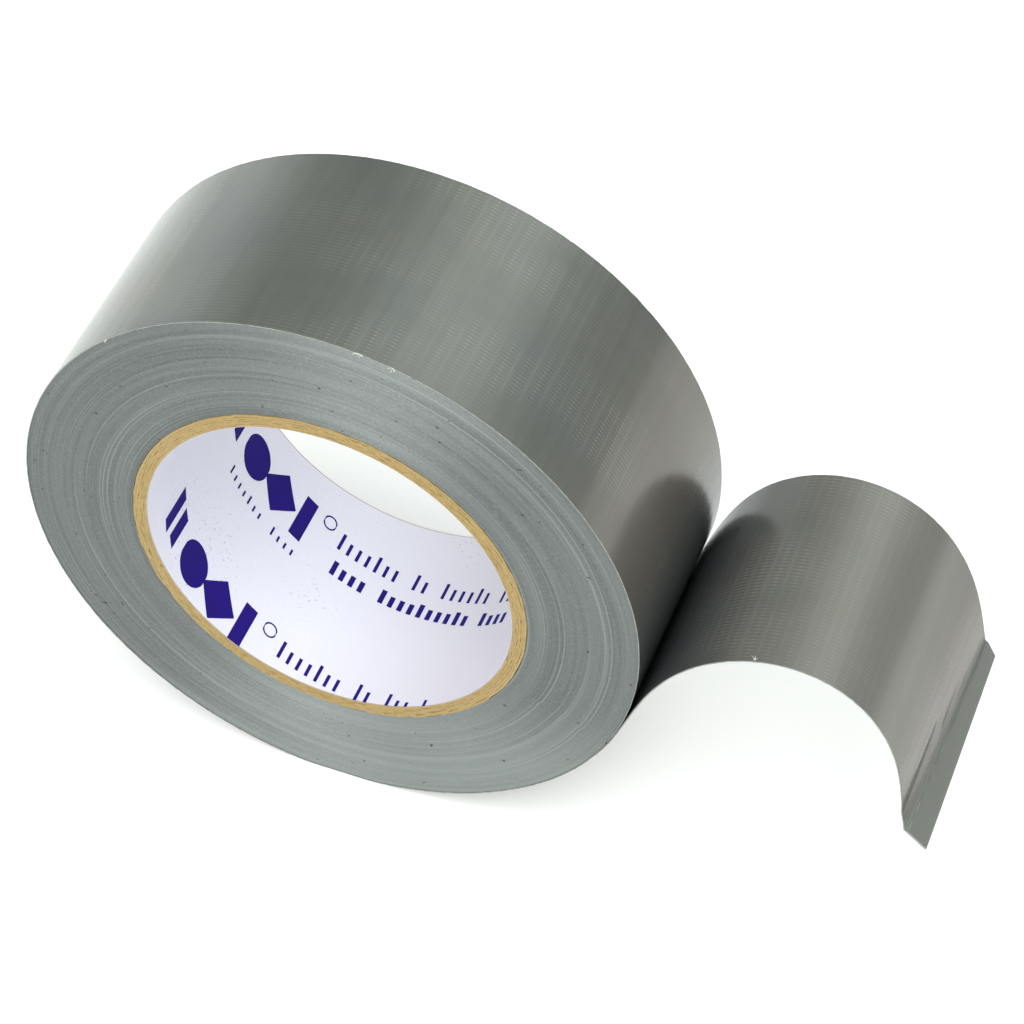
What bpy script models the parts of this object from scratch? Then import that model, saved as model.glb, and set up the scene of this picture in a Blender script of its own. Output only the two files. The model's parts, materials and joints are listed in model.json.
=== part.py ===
"""A roll of cloth duct tape that stands on its rim, with its free end peeled off in an arch.

The roll's axis runs along Y. The origin is the middle of the flat that the roll stands on, +Z is up
and the free end hangs on the +X side. The tape is wound anticlockwise as seen from -Y, with its film
outside, so along the tape its adhesive is always on the left hand.
"""

import math

import bmesh
import bpy

# Driving dimensions, in metres and degrees.
MM = 0.001
TAPE_WIDTH = 48 * MM
BORE_RADIUS = 38.1 * MM  # a three-inch core
CORE_RADIUS = 41.05 * MM
ROLL_RADIUS = 64 * MM

# The core: a printed liner inside five kraft plies, each wound as a helix whose edges butt.
LINER_THICKNESS = 0.15 * MM
PLY_COUNT = 5
PLY_GAP = 0.1 * MM
CORE_FACETS = 72
SEAM_WIDTH = 0.3 * MM
SEAM_TURN = 125  # how far a seam turns over the tape's width
SEAM_STEPS = 30
SEAM_SPACING = 137

# The tape's laminae, from the film to the adhesive, with a hair of air between them.
FILM_THICKNESS = 0.09 * MM
SCRIM_THICKNESS = 0.07 * MM
ADHESIVE_THICKNESS = 0.07 * MM
LAMINA_GAP = 0.02 * MM
TAPE_THICKNESS = FILM_THICKNESS + SCRIM_THICKNESS + ADHESIVE_THICKNESS + 2 * LAMINA_GAP
FILM_MIDDLE = (FILM_THICKNESS - TAPE_THICKNESS) / 2
SCRIM_MIDDLE = FILM_MIDDLE + (FILM_THICKNESS + SCRIM_THICKNESS) / 2 + LAMINA_GAP
ADHESIVE_MIDDLE = (TAPE_THICKNESS - ADHESIVE_THICKNESS) / 2

# The rim: straight facets, three of them pressed into one flat where the roll stands.
RIM_FACETS = 96
FACET = 360 / RIM_FACETS
FLAT_FACETS = 3
FLAT_HALF = FLAT_FACETS * FACET / 2
PEEL_ANGLE = -90 + FACET / 2 + 17 * FACET  # where the free end leaves the rim
WRAP_STEP = 0.35 * MM  # the last turn climbs this far over its own start
WRAP_CLIMB = 150  # and does it over this much of the rim
PACK_CLEARANCE = 0.05 * MM
CORE_CLEARANCE = 0.15 * MM

# The free end. Its curvature is in turns of the rim's own, anticlockwise positive, at equal steps.
LEADER_LENGTH = 1.643 * ROLL_RADIUS
LEADER_CURVATURE = (1.0, -1.2, -2.25, -3.25, -1.7, 0.35)
LEADER_STEPS = 480
STEPS_A_FACET = 10
HINGE_GAP = 0.3 * MM
TAB_LENGTH = 5.4 * MM
TAB_KICK = 37  # the tab turns up from the free end's own direction
TAB_START = 0.3 * MM
FOLD_STEPS = 8

AXIS_HEIGHT = (ROLL_RADIUS - TAPE_THICKNESS / 2) * math.cos(math.radians(FLAT_HALF)) + TAPE_THICKNESS / 2

KRAFT = (0.56, 0.39, 0.16)
LINER = (0.72, 0.72, 0.83)
FILM = (0.20, 0.215, 0.20)
SCRIM = (0.50, 0.52, 0.50)
ADHESIVE = (0.30, 0.33, 0.33)
PACK = (0.24, 0.28, 0.29)


def clear_scene():
    for obj in list(bpy.data.objects):
        bpy.data.objects.remove(obj, do_unlink=True)


def new_collection(name):
    collection = bpy.data.collections.new(name)
    bpy.context.scene.collection.children.link(collection)
    return collection


def material(name, color, roughness, metallic=0.0):
    made = bpy.data.materials.new(name)
    made.use_nodes = True
    shader = made.node_tree.nodes["Principled BSDF"]
    shader.inputs["Base Color"].default_value = (*color, 1)
    shader.inputs["Roughness"].default_value = roughness
    shader.inputs["Metallic"].default_value = metallic
    return made


def polar(radius, degrees):
    angle = math.radians(degrees)
    return (radius * math.cos(angle), radius * math.sin(angle))


def step_along(point, degrees, distance):
    along = polar(distance, degrees)
    return (point[0] + along[0], point[1] + along[1])


def add_object(name, data, collection, look=None, parent=None):
    obj = bpy.data.objects.new(name, data)
    collection.objects.link(obj)
    obj.parent = parent
    if look:
        data.materials.append(look)
    return obj


def joint_empty(name, point, collection, parent=None, parent_point=(0, 0)):
    """An empty on a hinge line, placed in the plane of the free end's outline."""
    empty = add_object(name, None, collection, parent=parent)
    empty.empty_display_size = TAPE_WIDTH / 4
    empty.location = (point[0] - parent_point[0], 0, point[1] - parent_point[1])
    return empty


def offset_line(points, distance):
    """The line moved to its left by this distance, with mitred corners."""
    moved = []
    for i, (x, z) in enumerate(points):
        before = points[max(i - 1, 0)]
        after = points[min(i + 1, len(points) - 1)]
        into = math.atan2(z - before[1], x - before[0]) if i else None
        out = math.atan2(after[1] - z, after[0] - x) if after != (x, z) else into
        into = out if into is None else into
        turn = math.remainder(out - into, 2 * math.pi)
        normal = into + turn / 2 + math.pi / 2
        reach = distance / math.cos(turn / 2)
        moved.append((x + reach * math.cos(normal), z + reach * math.sin(normal)))
    return moved


def lamina(name, points, middle, thickness, look, collection, parent=None, origin=(0, 0)):
    """One layer of the tape: the line drawn across the tape's width and thickened."""
    bm = bmesh.new()
    line = [
        bm.verts.new((x - origin[0], -TAPE_WIDTH / 2, z - origin[1]))
        for x, z in offset_line(points, middle)
    ]
    edges = [bm.edges.new(pair) for pair in zip(line, line[1:])]
    swept = bmesh.ops.extrude_edge_only(bm, edges=edges)["geom"]
    new_verts = [part for part in swept if isinstance(part, bmesh.types.BMVert)]
    bmesh.ops.translate(bm, verts=new_verts, vec=(0, TAPE_WIDTH, 0))
    mesh = bpy.data.meshes.new(name)
    bm.to_mesh(mesh)
    bm.free()
    obj = add_object(name, mesh, collection, look, parent)
    shell = obj.modifiers.new("Thickness", "SOLIDIFY")
    shell.thickness = thickness
    shell.offset = 0
    shell.use_even_offset = True
    return obj


def tape_stretch(prefix, points, looks, collection, parent=None, origin=(0, 0)):
    """Film, scrim and adhesive along one stretch of the tape."""
    layers = (
        ("film", FILM_MIDDLE, FILM_THICKNESS),
        ("scrim", SCRIM_MIDDLE, SCRIM_THICKNESS),
        ("adhesive", ADHESIVE_MIDDLE, ADHESIVE_THICKNESS),
    )
    for layer, middle, thickness in layers:
        lamina(f"{prefix}_{layer}", points, middle, thickness, looks[layer], collection, parent, origin)


def trimmed(points, start, end):
    """The line with its first and last points drawn in by these lengths."""
    points = list(points)
    for here, beside, length in ((0, 1, start), (-1, -2, end)):
        (x, z), (towards_x, towards_z) = points[here], points[beside]
        heading = math.degrees(math.atan2(towards_z - z, towards_x - x))
        points[here] = step_along((x, z), heading, length)
    return points


def core_ring(name, inner, outer, look, collection, axle, cutter):
    """A turned tube with its helical butt seam cut through."""
    half = TAPE_WIDTH / 2
    profile = ((outer, half), (outer, -half), (inner, -half), (inner, half))
    bm = bmesh.new()
    corners = [bm.verts.new((radius, 0, along)) for radius, along in profile]
    for here, after in zip(corners, corners[1:] + corners[:1]):
        bm.edges.new((here, after))
    mesh = bpy.data.meshes.new(name)
    bm.to_mesh(mesh)
    bm.free()
    obj = add_object(name, mesh, collection, look, axle)
    turn = obj.modifiers.new("Turn", "SCREW")
    turn.steps = CORE_FACETS
    turn.render_steps = CORE_FACETS
    turn.use_merge_vertices = True
    turn.merge_threshold = 0.00001
    seam = obj.modifiers.new("Seam", "BOOLEAN")
    seam.operation = "DIFFERENCE"
    seam.object = cutter
    return obj


def seam_cutter(name, inner, outer, start, collection, axle):
    """A thin helical fin that slits one ply from face to face."""
    over = 2 * PLY_GAP
    reach = TAPE_WIDTH * 1.1
    bm = bmesh.new()
    half = SEAM_WIDTH / 2
    corners = ((inner - over, -half), (outer + over, -half), (outer + over, half), (inner - over, half))
    fin = bm.faces.new([bm.verts.new((x, y, -reach / 2)) for x, y in corners])
    bmesh.ops.spin(
        bm,
        geom=[fin, *fin.edges, *fin.verts],
        axis=(0, 0, 1),
        cent=(0, 0, 0),
        dvec=(0, 0, reach / SEAM_STEPS),
        angle=math.radians(SEAM_TURN * reach / TAPE_WIDTH),
        steps=SEAM_STEPS,
    )
    bmesh.ops.holes_fill(bm, edges=bm.edges, sides=4)
    bmesh.ops.recalc_face_normals(bm, faces=bm.faces)
    mesh = bpy.data.meshes.new(name)
    bm.to_mesh(mesh)
    bm.free()
    cutter = add_object(name, mesh, collection, parent=axle)
    cutter.rotation_euler.z = math.radians(start)
    cutter.hide_render = True
    cutter.display_type = "WIRE"
    return cutter


def build_core(collection, cutters, axle):
    liner_outer = BORE_RADIUS + LINER_THICKNESS
    first_inner = liner_outer + PLY_GAP / 2
    ply = (CORE_RADIUS - first_inner - (PLY_COUNT - 1) * PLY_GAP) / PLY_COUNT
    rings = [("printed_liner", BORE_RADIUS, liner_outer, material("printed_liner", LINER, 0.65))]
    for i in range(PLY_COUNT):
        inner = first_inner + i * (ply + PLY_GAP)
        name = f"core_ply_{i + 1}"
        rings.append((name, inner, inner + ply, material(name, KRAFT, 0.85)))
    for i, (name, inner, outer, look) in enumerate(rings):
        cutter = seam_cutter(f"{name}_seam", inner, outer, i * SEAM_SPACING, cutters, axle)
        core_ring(name, inner, outer, look, collection, axle, cutter)


def rim_angles():
    """The rim's corners, from the start of the last turn to the peel line, without those in the flat."""
    turned = [i * FACET for i in range(RIM_FACETS + 1)]
    return [a for a in turned if abs(PEEL_ANGLE - 360 + a + 90) > FLAT_HALF - FACET / 2]


def rim_line(radius):
    """The spiral of the last turn: it starts one step lower and has climbed it after WRAP_CLIMB."""
    line = []
    for turned in rim_angles():
        sunk = WRAP_STEP * (1 - min(turned / WRAP_CLIMB, 1))
        line.append(polar(radius - sunk, PEEL_ANGLE + turned))
    return line


def build_pack(collection, look, middle_radius):
    """The buried turns: a flat outline whose rim steps down where the last turn starts."""
    outer = rim_line(middle_radius - TAPE_THICKNESS / 2 - PACK_CLEARANCE)
    inner_radius = CORE_RADIUS + CORE_CLEARANCE
    inner = [polar(inner_radius, i * 360 / CORE_FACETS) for i in range(CORE_FACETS)]
    data = bpy.data.curves.new("wound_tape", "CURVE")
    data.dimensions = "2D"
    data.fill_mode = "BOTH"
    data.extrude = TAPE_WIDTH / 2
    for outline in (outer, inner):
        spline = data.splines.new("POLY")
        spline.points.add(len(outline) - 1)
        for point, (x, z) in zip(spline.points, outline):
            point.co = (x, z, 0, 1)
        spline.use_cyclic_u = True
    obj = add_object("wound_tape", data, collection, look)
    obj.rotation_euler.x = math.pi / 2
    obj.location.z = AXIS_HEIGHT
    return obj


def leader_line(start):
    """(points, headings) of the free end, from the peel line to the tab's crease."""
    step = LEADER_LENGTH / LEADER_STEPS
    intervals = len(LEADER_CURVATURE) - 1
    heading = PEEL_ANGLE + 90
    points, headings = [start], [heading]
    for i in range(LEADER_STEPS):
        at = (i + 0.5) / LEADER_STEPS * intervals
        low = int(at)
        curvature = LEADER_CURVATURE[low] + (at - low) * (LEADER_CURVATURE[low + 1] - LEADER_CURVATURE[low])
        turn = math.degrees(curvature * step / ROLL_RADIUS)
        points.append(step_along(points[-1], heading + turn / 2, step))
        heading += turn
        headings.append(heading)
    return points, headings


def build_tab(crease, heading, looks, collection, parent):
    """The end folded over on itself, adhesive to adhesive: two hairpins round a doubled adhesive."""
    fold_side = TAPE_THICKNESS / 2

    def at(along, beside):
        return step_along(step_along(crease, heading, along), heading + 90, fold_side + beside)

    turn_centre = TAB_LENGTH - TAPE_THICKNESS
    for layer, middle, thickness in (
        ("film", FILM_MIDDLE, FILM_THICKNESS),
        ("scrim", SCRIM_MIDDLE, SCRIM_THICKNESS),
    ):
        radius = fold_side - middle
        line = [at(TAB_START, -radius)]
        for i in range(FOLD_STEPS + 1):
            across, along = polar(radius, 180 - 180 * i / FOLD_STEPS)
            line.append(at(turn_centre + along, across))
        line.append(at(TAB_START, radius))
        lamina(f"tab_{layer}", line, 0, thickness, looks[layer], collection, parent, crease)
    middle_line = [at(TAB_START, 0), at(turn_centre, 0)]
    doubled = 2 * ADHESIVE_THICKNESS
    lamina("tab_adhesive", middle_line, 0, doubled, looks["adhesive"], collection, parent, crease)


def main():
    clear_scene()
    parts = new_collection("Duct_Tape_Roll")
    cutters = new_collection("Cutters")

    axle = add_object("roll_axis", None, parts)
    axle.location.z = AXIS_HEIGHT
    axle.rotation_euler.x = math.pi / 2
    build_core(parts, cutters, axle)

    looks = {
        "film": material("tape_film", FILM, 0.35),
        "scrim": material("tape_scrim", SCRIM, 0.9),
        "adhesive": material("tape_adhesive", ADHESIVE, 0.55),
    }
    middle_radius = ROLL_RADIUS - TAPE_THICKNESS / 2
    build_pack(parts, material("wound_tape", PACK, 0.7), middle_radius)
    raised = [(x, z + AXIS_HEIGHT) for x, z in rim_line(middle_radius)]
    tape_stretch("last_turn", trimmed(raised, HINGE_GAP, HINGE_GAP / 2), looks, parts)

    peel = raised[-1]
    points, headings = leader_line(peel)
    crown_step = next(i for i, heading in enumerate(headings) if heading <= 0)
    crown_step -= crown_step % STEPS_A_FACET
    crown, crease = points[crown_step], points[-1]
    rise = trimmed(points[: crown_step + 1 : STEPS_A_FACET], HINGE_GAP / 2, HINGE_GAP / 2)
    drop = trimmed(points[crown_step::STEPS_A_FACET], HINGE_GAP / 2, HINGE_GAP / 2)

    peel_bend = joint_empty("peel_bend", peel, parts)
    crown_bend = joint_empty("crown_bend", crown, parts, peel_bend, peel)
    tab_bend = joint_empty("tab_bend", crease, parts, crown_bend, crown)
    tape_stretch("leader_rise", rise, looks, parts, peel_bend, peel)
    tape_stretch("leader_drop", drop, looks, parts, crown_bend, crown)
    build_tab(crease, headings[-1] + TAB_KICK, looks, parts, tab_bend)


main()
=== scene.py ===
"""The looks of the duct tape roll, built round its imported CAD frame.

Every strip of tape is drawn along one path: the spiral of the last turn, the free end's arch and the
folded tab. Lengths along it are metres past the peel line, and negative on the roll.
"""

import itertools
import json
import math

import bmesh
import bpy
import numpy as np
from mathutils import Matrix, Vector


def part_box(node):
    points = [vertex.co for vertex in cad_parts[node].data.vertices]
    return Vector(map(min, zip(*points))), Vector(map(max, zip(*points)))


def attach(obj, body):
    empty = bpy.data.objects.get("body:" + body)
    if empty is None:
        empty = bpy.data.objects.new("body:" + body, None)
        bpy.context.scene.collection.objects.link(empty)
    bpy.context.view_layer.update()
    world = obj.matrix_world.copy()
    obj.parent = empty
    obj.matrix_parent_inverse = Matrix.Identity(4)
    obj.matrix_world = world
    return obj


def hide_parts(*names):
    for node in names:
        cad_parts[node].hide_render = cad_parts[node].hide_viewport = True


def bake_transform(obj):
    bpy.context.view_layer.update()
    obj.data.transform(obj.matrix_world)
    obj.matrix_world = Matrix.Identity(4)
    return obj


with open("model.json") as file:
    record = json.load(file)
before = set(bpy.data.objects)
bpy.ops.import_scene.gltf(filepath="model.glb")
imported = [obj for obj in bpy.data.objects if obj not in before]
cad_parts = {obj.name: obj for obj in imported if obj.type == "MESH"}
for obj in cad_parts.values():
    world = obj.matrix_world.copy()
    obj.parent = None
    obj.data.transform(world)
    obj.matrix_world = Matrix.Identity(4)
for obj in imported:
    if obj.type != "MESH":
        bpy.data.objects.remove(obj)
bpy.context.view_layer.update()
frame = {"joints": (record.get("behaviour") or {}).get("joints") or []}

MM = 0.001

# Sizes read off the frame.
LINER_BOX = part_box("printed_liner")
PLY_BOXES = [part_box(f"core_ply_{i}") for i in range(1, 6)]
PEEL_LINE = next(Vector(joint["pos_m"]) for joint in frame["joints"] if joint["name"] == "peel_bend")
AXIS_HEIGHT = (LINER_BOX[0].z + LINER_BOX[1].z) / 2
HALF_WIDTH = LINER_BOX[1].y
LINER_OUTER = LINER_BOX[1].x
CORE_RADIUS = PLY_BOXES[-1][1].x

# The roll and its tape, as part.py builds them. Each lamina is (film side, other side) of the tape's middle.
ROLL_RADIUS = 64 * MM
BORE_RADIUS = 38.1 * MM
TAPE_THICKNESS = 0.27 * MM
FILM = (-0.135 * MM, -0.042 * MM)
SCRIM = (-0.038 * MM, 0.038 * MM)
ADHESIVE = (0.042 * MM, 0.135 * MM)
PEEL_ANGLE = math.radians(-24.375)
WRAP_STEP = 0.35 * MM
WRAP_CLIMB = math.radians(150)

# The free end: its curvature as a share of the rim's own, then how much more of it the back edge has.
LEADER_LENGTH = 1.643 * ROLL_RADIUS
LEADER_CURVATURE = (1.0, -1.2, -2.25, -3.25, -1.7, 0.35)
LEADER_SKEW = (0.0, 0.13, -0.12, 0.12, 0.12, -0.45)
CROWN = 0.515 * LEADER_LENGTH
CROWN_BEND = (CROWN - 22 * MM, CROWN + 22 * MM)
PEEL_BEND_SHARE = 0.8  # of the rise, given as the far end of the stretch passed to leader_piece as its bend
RISE_SPLIT = 0.26 * LEADER_LENGTH
DROP_SPLIT = 0.80 * LEADER_LENGTH
TAB_LENGTH = (6.2 * MM, 5.1 * MM)
TAB_HEADING = (math.radians(-41), math.radians(-62))
TAB_BEND = (-2.0 * MM, 1.2 * MM)  # from the crease
CREASE_RADIUS = 0.6 * MM
SCRIM_STOP, FILM_STOP = 0.72 * MM, 0.76 * MM  # how near the crease the folded laminae come back
ADHESIVE_DOUBLED = 0.09 * MM


# -------------------------------- camera, light and floor


CAMERA_AZIMUTH, CAMERA_ELEVATION = math.radians(21.13), math.radians(48.42)
CAMERA_DISTANCE = 9.814 * ROLL_RADIUS
CAMERA_LENS, CAMERA_SENSOR = 112.2, 36  # millimetres
AIM_RIGHT, AIM_DOWN = 0.42 * ROLL_RADIUS, 0.081 * ROLL_RADIUS  # from the roll's centre, across the picture


def add_camera():
    """A long lens, from in front, the right and well above, aimed between the roll and its free end."""
    level = math.cos(CAMERA_ELEVATION)
    x, y = level * math.sin(CAMERA_AZIMUTH), -level * math.cos(CAMERA_AZIMUTH)
    back = Vector((x, y, math.sin(CAMERA_ELEVATION)))
    turn = (-back).to_track_quat("-Z", "Y")
    right, up = turn @ Vector((1, 0, 0)), turn @ Vector((0, 1, 0))
    aim = Vector((0, 0, AXIS_HEIGHT)) + AIM_RIGHT * right - AIM_DOWN * up
    data = bpy.data.cameras.new("Camera")
    data.sensor_width = CAMERA_SENSOR
    data.lens = CAMERA_LENS
    data.clip_start = 10 * MM
    camera = bpy.data.objects.new("Camera", data)
    bpy.context.scene.collection.objects.link(camera)
    camera.rotation_mode = "QUATERNION"
    camera.rotation_quaternion = turn
    camera.location = aim + CAMERA_DISTANCE * back
    bpy.context.scene.camera = camera


def add_panel(name, direction, distance, size, power):
    """A square soft box in this direction from the roll, facing it, its size and distance in metres."""
    centre = Vector((20 * MM, 0, AXIS_HEIGHT))
    towards = Vector(direction).normalized()
    data = bpy.data.lights.new(name, "AREA")
    data.shape = "SQUARE"
    data.size = size
    data.energy = power
    light = bpy.data.objects.new(name, data)
    bpy.context.scene.collection.objects.link(light)
    light.location = centre + distance * towards
    light.rotation_mode = "QUATERNION"
    light.rotation_quaternion = (-towards).to_track_quat("-Z", "Y")


# The sky's light round the roll's axis, by degrees from the horizon on the right to the horizon on the left.
SKY = (
    (0, (0.46, 0.42, 0.38)),
    (25, (0.34, 0.34, 0.35)),
    (45, (0.80, 0.83, 0.80)),
    (58, (1.55, 1.62, 1.55)),
    (74, (1.70, 1.78, 1.70)),
    (91, (1.15, 1.22, 1.16)),
    (110, (0.50, 0.53, 0.50)),
    (130, (0.25, 0.27, 0.25)),
    (147, (0.42, 0.44, 0.43)),
    (164, (1.06, 1.11, 1.13)),
    (180, (1.33, 1.40, 1.46)),
)
SKY_STRENGTH = 2.0
SKY_ENDS = (0.62, 0.64, 0.64)  # the plain sky in front and behind, as shares of the strength
FLOOR_SIZE = 80
FLOOR_LOOK = {
    "Base Color": (0.95, 0.95, 0.95, 1),
    "Roughness": 0.9,
    "Emission Color": (1, 1, 1, 1),
    "Emission Strength": 0.12,
}


def add_sky():
    """A sky that varies round the roll's axis, brightest overhead, and is plain along the axis."""
    nodes = Nodes(bpy.data.worlds.new("Studio"), "Background")
    direction = nodes.put("ShaderNodeTexCoord").outputs["Generated"]
    parts = nodes.put("ShaderNodeSeparateXYZ", {0: direction})
    turn = nodes.math("ABSOLUTE", nodes.math("ARCTAN2", parts.outputs[2], parts.outputs[0]))
    stops = [(degrees / 180, tuple(part / SKY_STRENGTH for part in color)) for degrees, color in SKY]
    around = nodes.ramp(nodes.math("DIVIDE", turn, math.pi), stops)
    endwise = nodes.ramp(nodes.math("ABSOLUTE", parts.outputs[1]), ((0.80, 0.0), (0.90, 1.0)))
    nodes.feed(nodes.shader.inputs["Color"], nodes.mix(endwise, around, (*SKY_ENDS, 1)))
    nodes.shader.inputs["Strength"].default_value = SKY_STRENGTH
    bpy.context.scene.world = nodes.owner


def add_studio():
    """A pale floor that glows a little, a key above and a low panel that lights the roll's side face."""
    add_sky()
    bpy.context.scene.view_settings.view_transform = "Standard"
    add_panel("key", (0.08, -0.55, 0.80), 2.2, 2.0, 37)
    add_panel("front", (-0.20, -0.97, 0.10), 2.2, 1.0, 18)

    bpy.ops.mesh.primitive_plane_add(size=FLOOR_SIZE)
    floor = bpy.context.object
    floor.name = "floor"
    nodes = Nodes(bpy.data.materials.new("floor_paper"))
    for socket, value in FLOOR_LOOK.items():
        nodes.feed(nodes.shader.inputs[socket], value)
    floor.data.materials.append(nodes.owner)


# -------------------------------- meshes


def link_mesh(name, vertices, faces, coords, look, sharp=40):
    """A mesh object with a 'tape' attribute: three values at each point for its material, in millimetres."""
    mesh = bpy.data.meshes.new(name)
    mesh.from_pydata([tuple(v) for v in vertices], [], faces)
    attribute = mesh.attributes.new("tape", "FLOAT_VECTOR", "POINT")
    attribute.data.foreach_set("vector", (np.asarray(coords, np.float32) / MM).ravel())
    mesh.shade_smooth()
    mesh.set_sharp_from_angle(angle=math.radians(sharp))
    mesh.materials.append(look)
    obj = bpy.data.objects.new(name, mesh)
    bpy.context.scene.collection.objects.link(obj)
    return obj


def grid_faces(rows, columns, first, flip, closed):
    """Quads of a grid of points, rows apart along the piece and columns across it."""
    row, column = np.meshgrid(np.arange(rows if closed else rows - 1), np.arange(columns - 1), indexing="ij")
    after = (row + 1) % rows
    corners = (row * columns + column, row * columns + column + 1, after * columns + column + 1)
    quads = np.stack([*corners, after * columns + column], -1).reshape(-1, 4) + first
    return (quads[:, ::-1] if flip else quads).tolist()


def slab(name, grids, coords, look, closed=False):
    """A closed sheet between two grids of points, the first on the tape's film side."""
    rows, columns = grids[0].shape[:2]
    count = rows * columns
    faces = grid_faces(rows, columns, 0, False, closed) + grid_faces(rows, columns, count, True, closed)
    if closed:
        for row in range(rows):
            after = (row + 1) % rows
            for column, flip in ((0, False), (columns - 1, True)):
                a, b = row * columns + column, after * columns + column
                quad = (a, b, b + count, a + count)
                faces.append(quad[::-1] if flip else quad)
    else:
        ring = [(r, 0) for r in range(rows)] + [(rows - 1, c) for c in range(1, columns)]
        ring += [(r, columns - 1) for r in range(rows - 2, -1, -1)]
        ring += [(0, c) for c in range(columns - 2, 0, -1)]
        for (r, c), (r2, c2) in zip(ring, ring[1:] + ring[:1]):
            a, b = r * columns + c, r2 * columns + c2
            faces.append((a, b, b + count, a + count))
    vertices, values = (np.concatenate([grid.reshape(-1, 3) for grid in pair]) for pair in (grids, coords))
    return outward(link_mesh(name, vertices, faces, values, look))


def outward(obj):
    """Turns the faces out, if the piece was drawn inside out."""
    bm = bmesh.new()
    bm.from_mesh(obj.data)
    if bm.calc_volume(signed=True) < 0:
        bmesh.ops.reverse_faces(bm, faces=bm.faces)
        bm.to_mesh(obj.data)
    bm.free()
    return obj


def wave(length, seed, steps, low, high):
    """A smooth random function of a place in metres, about 1 high, of waves low to high millimetres long."""
    random = np.random.default_rng(seed)
    periods = np.exp(random.uniform(math.log(low), math.log(high), steps)) * MM
    phases = random.uniform(0, 2 * math.pi, steps)
    total = sum(np.sin(2 * math.pi * length / period + phase) for period, phase in zip(periods, phases))
    return total / math.sqrt(steps / 2)


# -------------------------------- the tape's path


NEAR_FLAT = 0.5  # the flat is looked for where the cosine of the angle from straight down is over this


def onward(heading):
    """The unit vector (x, z) along each heading."""
    return np.stack([np.cos(heading), np.sin(heading)], -1)


def leftward(heading):
    """The unit vector (x, z) to the left of each heading, from the tape's film side to its other side."""
    return np.stack([-np.sin(heading), np.cos(heading)], -1)


def rest_flat(radius, angle):
    """The radius of the rim at this angle, cut by the flat that the roll stands on."""
    below = np.cos(angle + math.pi / 2)
    lift = ROLL_RADIUS - radius
    flat = (AXIS_HEIGHT - lift) / np.maximum(below, NEAR_FLAT)
    return np.where(below > NEAR_FLAT, np.minimum(radius, flat), radius)


def sunk(angles):
    """How far the last turn lies below the rim, at radians past its start, until it has climbed."""
    return WRAP_STEP * (1 - np.minimum(angles / WRAP_CLIMB, 1))


def rim_path(angles):
    """(points, headings) of the tape's middle on the roll, at radians turned past the last turn's start."""
    place = PEEL_ANGLE + angles
    radius = rest_flat(ROLL_RADIUS - TAPE_THICKNESS / 2 - sunk(angles), place)
    points = np.stack([radius * np.cos(place), AXIS_HEIGHT + radius * np.sin(place)], -1)
    return points, place + math.pi / 2


def leader_path(lengths, across):
    """(points, headings) of the free end's middle, each a grid: lengths by places across, from -1 to 1."""
    fine = np.linspace(0, LEADER_LENGTH, 1501)
    knots = np.linspace(0, LEADER_LENGTH, len(LEADER_CURVATURE))
    curvature = np.interp(fine, knots, LEADER_CURVATURE)[:, None]
    curvature = (curvature + np.interp(fine, knots, LEADER_SKEW)[:, None] * across) / ROLL_RADIUS
    step = fine[1]

    def summed(values):
        middle = (values[1:] + values[:-1]) / 2 * step
        return np.concatenate([np.zeros((1, middle.shape[1])), np.cumsum(middle, 0)])

    heading = PEEL_ANGLE + math.pi / 2 + summed(curvature)
    x = PEEL_LINE.x + summed(np.cos(heading))
    z = PEEL_LINE.z + summed(np.sin(heading))
    grids = [
        np.stack([np.interp(lengths, fine, grid[:, c]) for c in range(grid.shape[1])], -1)
        for grid in (x, z, heading)
    ]
    return np.stack(grids[:2], -1), grids[2]


def between(ends, across):
    """A value at each place across, from the ones at the front and back edges."""
    return ends[0] + (across + 1) / 2 * (ends[1] - ends[0])


def tab_path(across):
    """Where the tab starts, its heading and its length, at each place across."""
    heading = between(TAB_HEADING, across)
    crease, _ = leader_path(np.array([LEADER_LENGTH]), across)
    return crease[0] + leftward(heading) * TAPE_THICKNESS / 2, heading, between(TAB_LENGTH, across)


# -------------------------------- materials


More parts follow.
